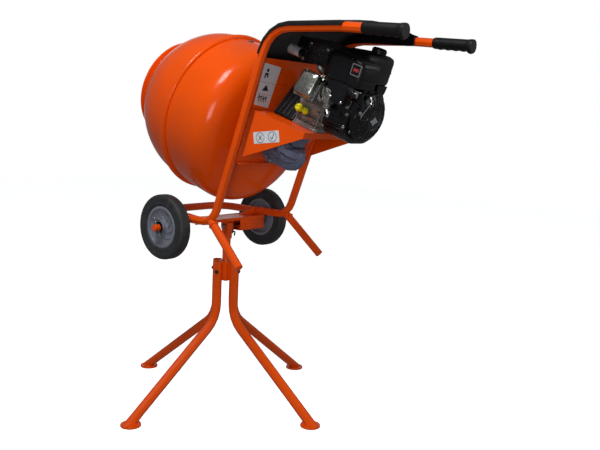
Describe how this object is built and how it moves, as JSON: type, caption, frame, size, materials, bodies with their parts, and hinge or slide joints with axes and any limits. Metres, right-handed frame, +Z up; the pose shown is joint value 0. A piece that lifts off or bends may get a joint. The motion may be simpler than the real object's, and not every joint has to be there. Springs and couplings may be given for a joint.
{
  "type": "concrete mixer",
  "caption": "Tip-up petrol concrete mixer: orange drum on a tubular wheeled frame, engine under a hood behind it, swivelling on a four-legged stand.",
  "frame": {"origin": "on the ground, in the middle of the overall length and width", "axes": "+Z up, the drum's mouth faces -Y, the handles point to +Y and the wheel axles lie along X"},
  "size_m": [1.024, 1.4378, 1.4918],
  "materials": {
    "orange_paint": "glossy orange paint",
    "bare_steel": "machined, lightly oiled",
    "zinc_plate": "bright zinc plate",
    "gearbox_casting": "blue-grey painted casting",
    "engine_casting": "die-cast aluminium, satin",
    "black_plastic": "satin black moulding",
    "black_paint": "gloss black paint",
    "rubber": "matt black rubber",
    "tyre_rubber": "matt solid tyre",
    "grey_plastic": "grey moulded nylon",
    "yellow_plastic": "yellow moulding",
    "red_plastic": "red moulding"
  },
  "bodies": {
    "stand": {"stand_leg_front": "orange_paint", "stand_leg_rear": "orange_paint", "stand_leg_left": "orange_paint", "stand_leg_right": "orange_paint", "stand_foot_front": "orange_paint", "stand_foot_rear": "orange_paint", "stand_foot_left": "orange_paint", "stand_foot_right": "orange_paint", "stand_socket": "orange_paint"},
    "swivel": {"swivel_post": "orange_paint"},
    "chassis": {"tilt_beam": "orange_paint", "tilt_pin": "zinc_plate", "latch_bracket": "orange_paint", "side_tube_left": "orange_paint", "side_tube_right": "orange_paint", "front_loop": "orange_paint", "rear_leg_left": "orange_paint", "rear_leg_right": "orange_paint", "grip_left": "rubber", "grip_right": "rubber", "engine_hood": "black_plastic", "wheel_axle_left": "orange_paint", "wheel_axle_right": "orange_paint", "back_plate": "orange_paint", "engine_tray": "orange_paint", "gearbox_housing": "gearbox_casting", "belt_guard": "black_plastic", "drive_belt": "rubber", "crankcase": "engine_casting", "cylinder_head": "engine_casting", "rocker_cover": "zinc_plate", "carburettor": "engine_casting", "air_cleaner": "black_plastic", "muffler": "black_paint", "fuel_tank": "black_plastic", "fan_housing": "black_paint", "recoil_cover": "black_paint"},
    "latch_lever": {"latch_lever": "black_paint"},
    "left_wheel": {"tyre_left": "tyre_rubber", "wheel_hub_left": "grey_plastic"},
    "right_wheel": {"tyre_right": "tyre_rubber", "wheel_hub_right": "grey_plastic"},
    "drum": {"drum_bowl": "orange_paint", "drum_cone": "orange_paint", "drum_ring": "orange_paint", "mixing_blade_1": "orange_paint", "mixing_blade_2": "orange_paint", "drum_spindle": "bare_steel", "drum_gear": "bare_steel"},
    "layshaft": {"layshaft": "bare_steel"},
    "input_shaft": {"input_shaft": "bare_steel", "driven_pulley": "gearbox_casting"},
    "crankshaft": {"crankshaft": "bare_steel", "engine_pulley": "bare_steel"},
    "fuel_cap": {"fuel_cap": "black_plastic"},
    "oil_cap": {"oil_cap": "yellow_plastic"},
    "throttle_lever": {"throttle_lever": "zinc_plate"},
    "choke_lever": {"choke_lever": "zinc_plate"},
    "stop_switch": {"stop_switch": "red_plastic"},
    "starter_handle": {"starter_handle": "black_plastic"}
  },
  "joints": [
    {"name": "stand_swivel", "type": "hinge", "parent": "stand", "child": "swivel", "pos_m": [0, -0.2069, 0.53], "axis": [0, 0, 1], "continuous": true},
    {"name": "frame_tilt", "type": "hinge", "parent": "swivel", "child": "chassis", "pos_m": [0, -0.2069, 0.712], "axis": [1, 0, 0], "range_deg": [0, 60]},
    {"name": "latch_turn", "type": "hinge", "parent": "chassis", "child": "latch_lever", "pos_m": [-0.034, -0.2069, 0.714], "axis": [1, 0, 0], "range_deg": [0, 50]},
    {"name": "left_wheel_spin", "type": "hinge", "parent": "chassis", "child": "left_wheel", "pos_m": [0.2776, -0.2669, 0.722], "axis": [1, 0, 0], "continuous": true},
    {"name": "right_wheel_spin", "type": "hinge", "parent": "chassis", "child": "right_wheel", "pos_m": [-0.2776, -0.2669, 0.722], "axis": [1, 0, 0], "continuous": true},
    {"name": "drum_spin", "type": "hinge", "parent": "chassis", "child": "drum", "pos_m": [0, -0.2509, 1.1655], "axis": [0, 0.9489, -0.3156], "continuous": true},
    {"name": "layshaft_spin", "type": "hinge", "parent": "chassis", "child": "layshaft", "pos_m": [-0.0542, 0.08186, 1.12036], "axis": [0, 0.9489, -0.3156], "continuous": true},
    {"name": "input_shaft_spin", "type": "hinge", "parent": "chassis", "child": "input_shaft", "pos_m": [0, 0.09001, 1.14484], "axis": [0, 0.9489, -0.3156], "continuous": true},
    {"name": "crankshaft_spin", "type": "hinge", "parent": "chassis", "child": "crankshaft", "pos_m": [0, 0.29298, 1.21643], "axis": [0, 0.9489, -0.3156], "continuous": true},
    {"name": "fuel_cap_turn", "type": "hinge", "parent": "chassis", "child": "fuel_cap", "pos_m": [-0.105, 0.41019, 1.39454], "axis": [0, 0.3156, 0.9489], "range_deg": [0, 120]},
    {"name": "oil_cap_turn", "type": "hinge", "parent": "chassis", "child": "oil_cap", "pos_m": [0.101, 0.23228, 1.18603], "axis": [0.788, 0.1943, 0.5842], "continuous": true},
    {"name": "throttle_turn", "type": "hinge", "parent": "chassis", "child": "throttle_lever", "pos_m": [0.1, 0.43529, 1.2007], "axis": [1, 0, 0], "range_deg": [0, 50]},
    {"name": "choke_turn", "type": "hinge", "parent": "chassis", "child": "choke_lever", "pos_m": [0.14, 0.37392, 1.23798], "axis": [1, 0, 0], "range_deg": [0, 60]},
    {"name": "stop_switch_turn", "type": "hinge", "parent": "chassis", "child": "stop_switch", "pos_m": [0.0953, 0.44444, 1.23771], "axis": [1, 0, 0], "range_deg": [0, 60]},
    {"name": "starter_pull", "type": "slide", "parent": "chassis", "child": "starter_handle", "axis": [1, 0, 0], "range_m": [0, 0.12], "stiffness_N_per_m": 60}
  ],
  "couplings": [
    {"joint": "layshaft_spin", "follows": "drum_spin", "ratio": -4.5},
    {"joint": "input_shaft_spin", "follows": "drum_spin", "ratio": 18},
    {"joint": "crankshaft_spin", "follows": "drum_spin", "ratio": 63}
  ]
}
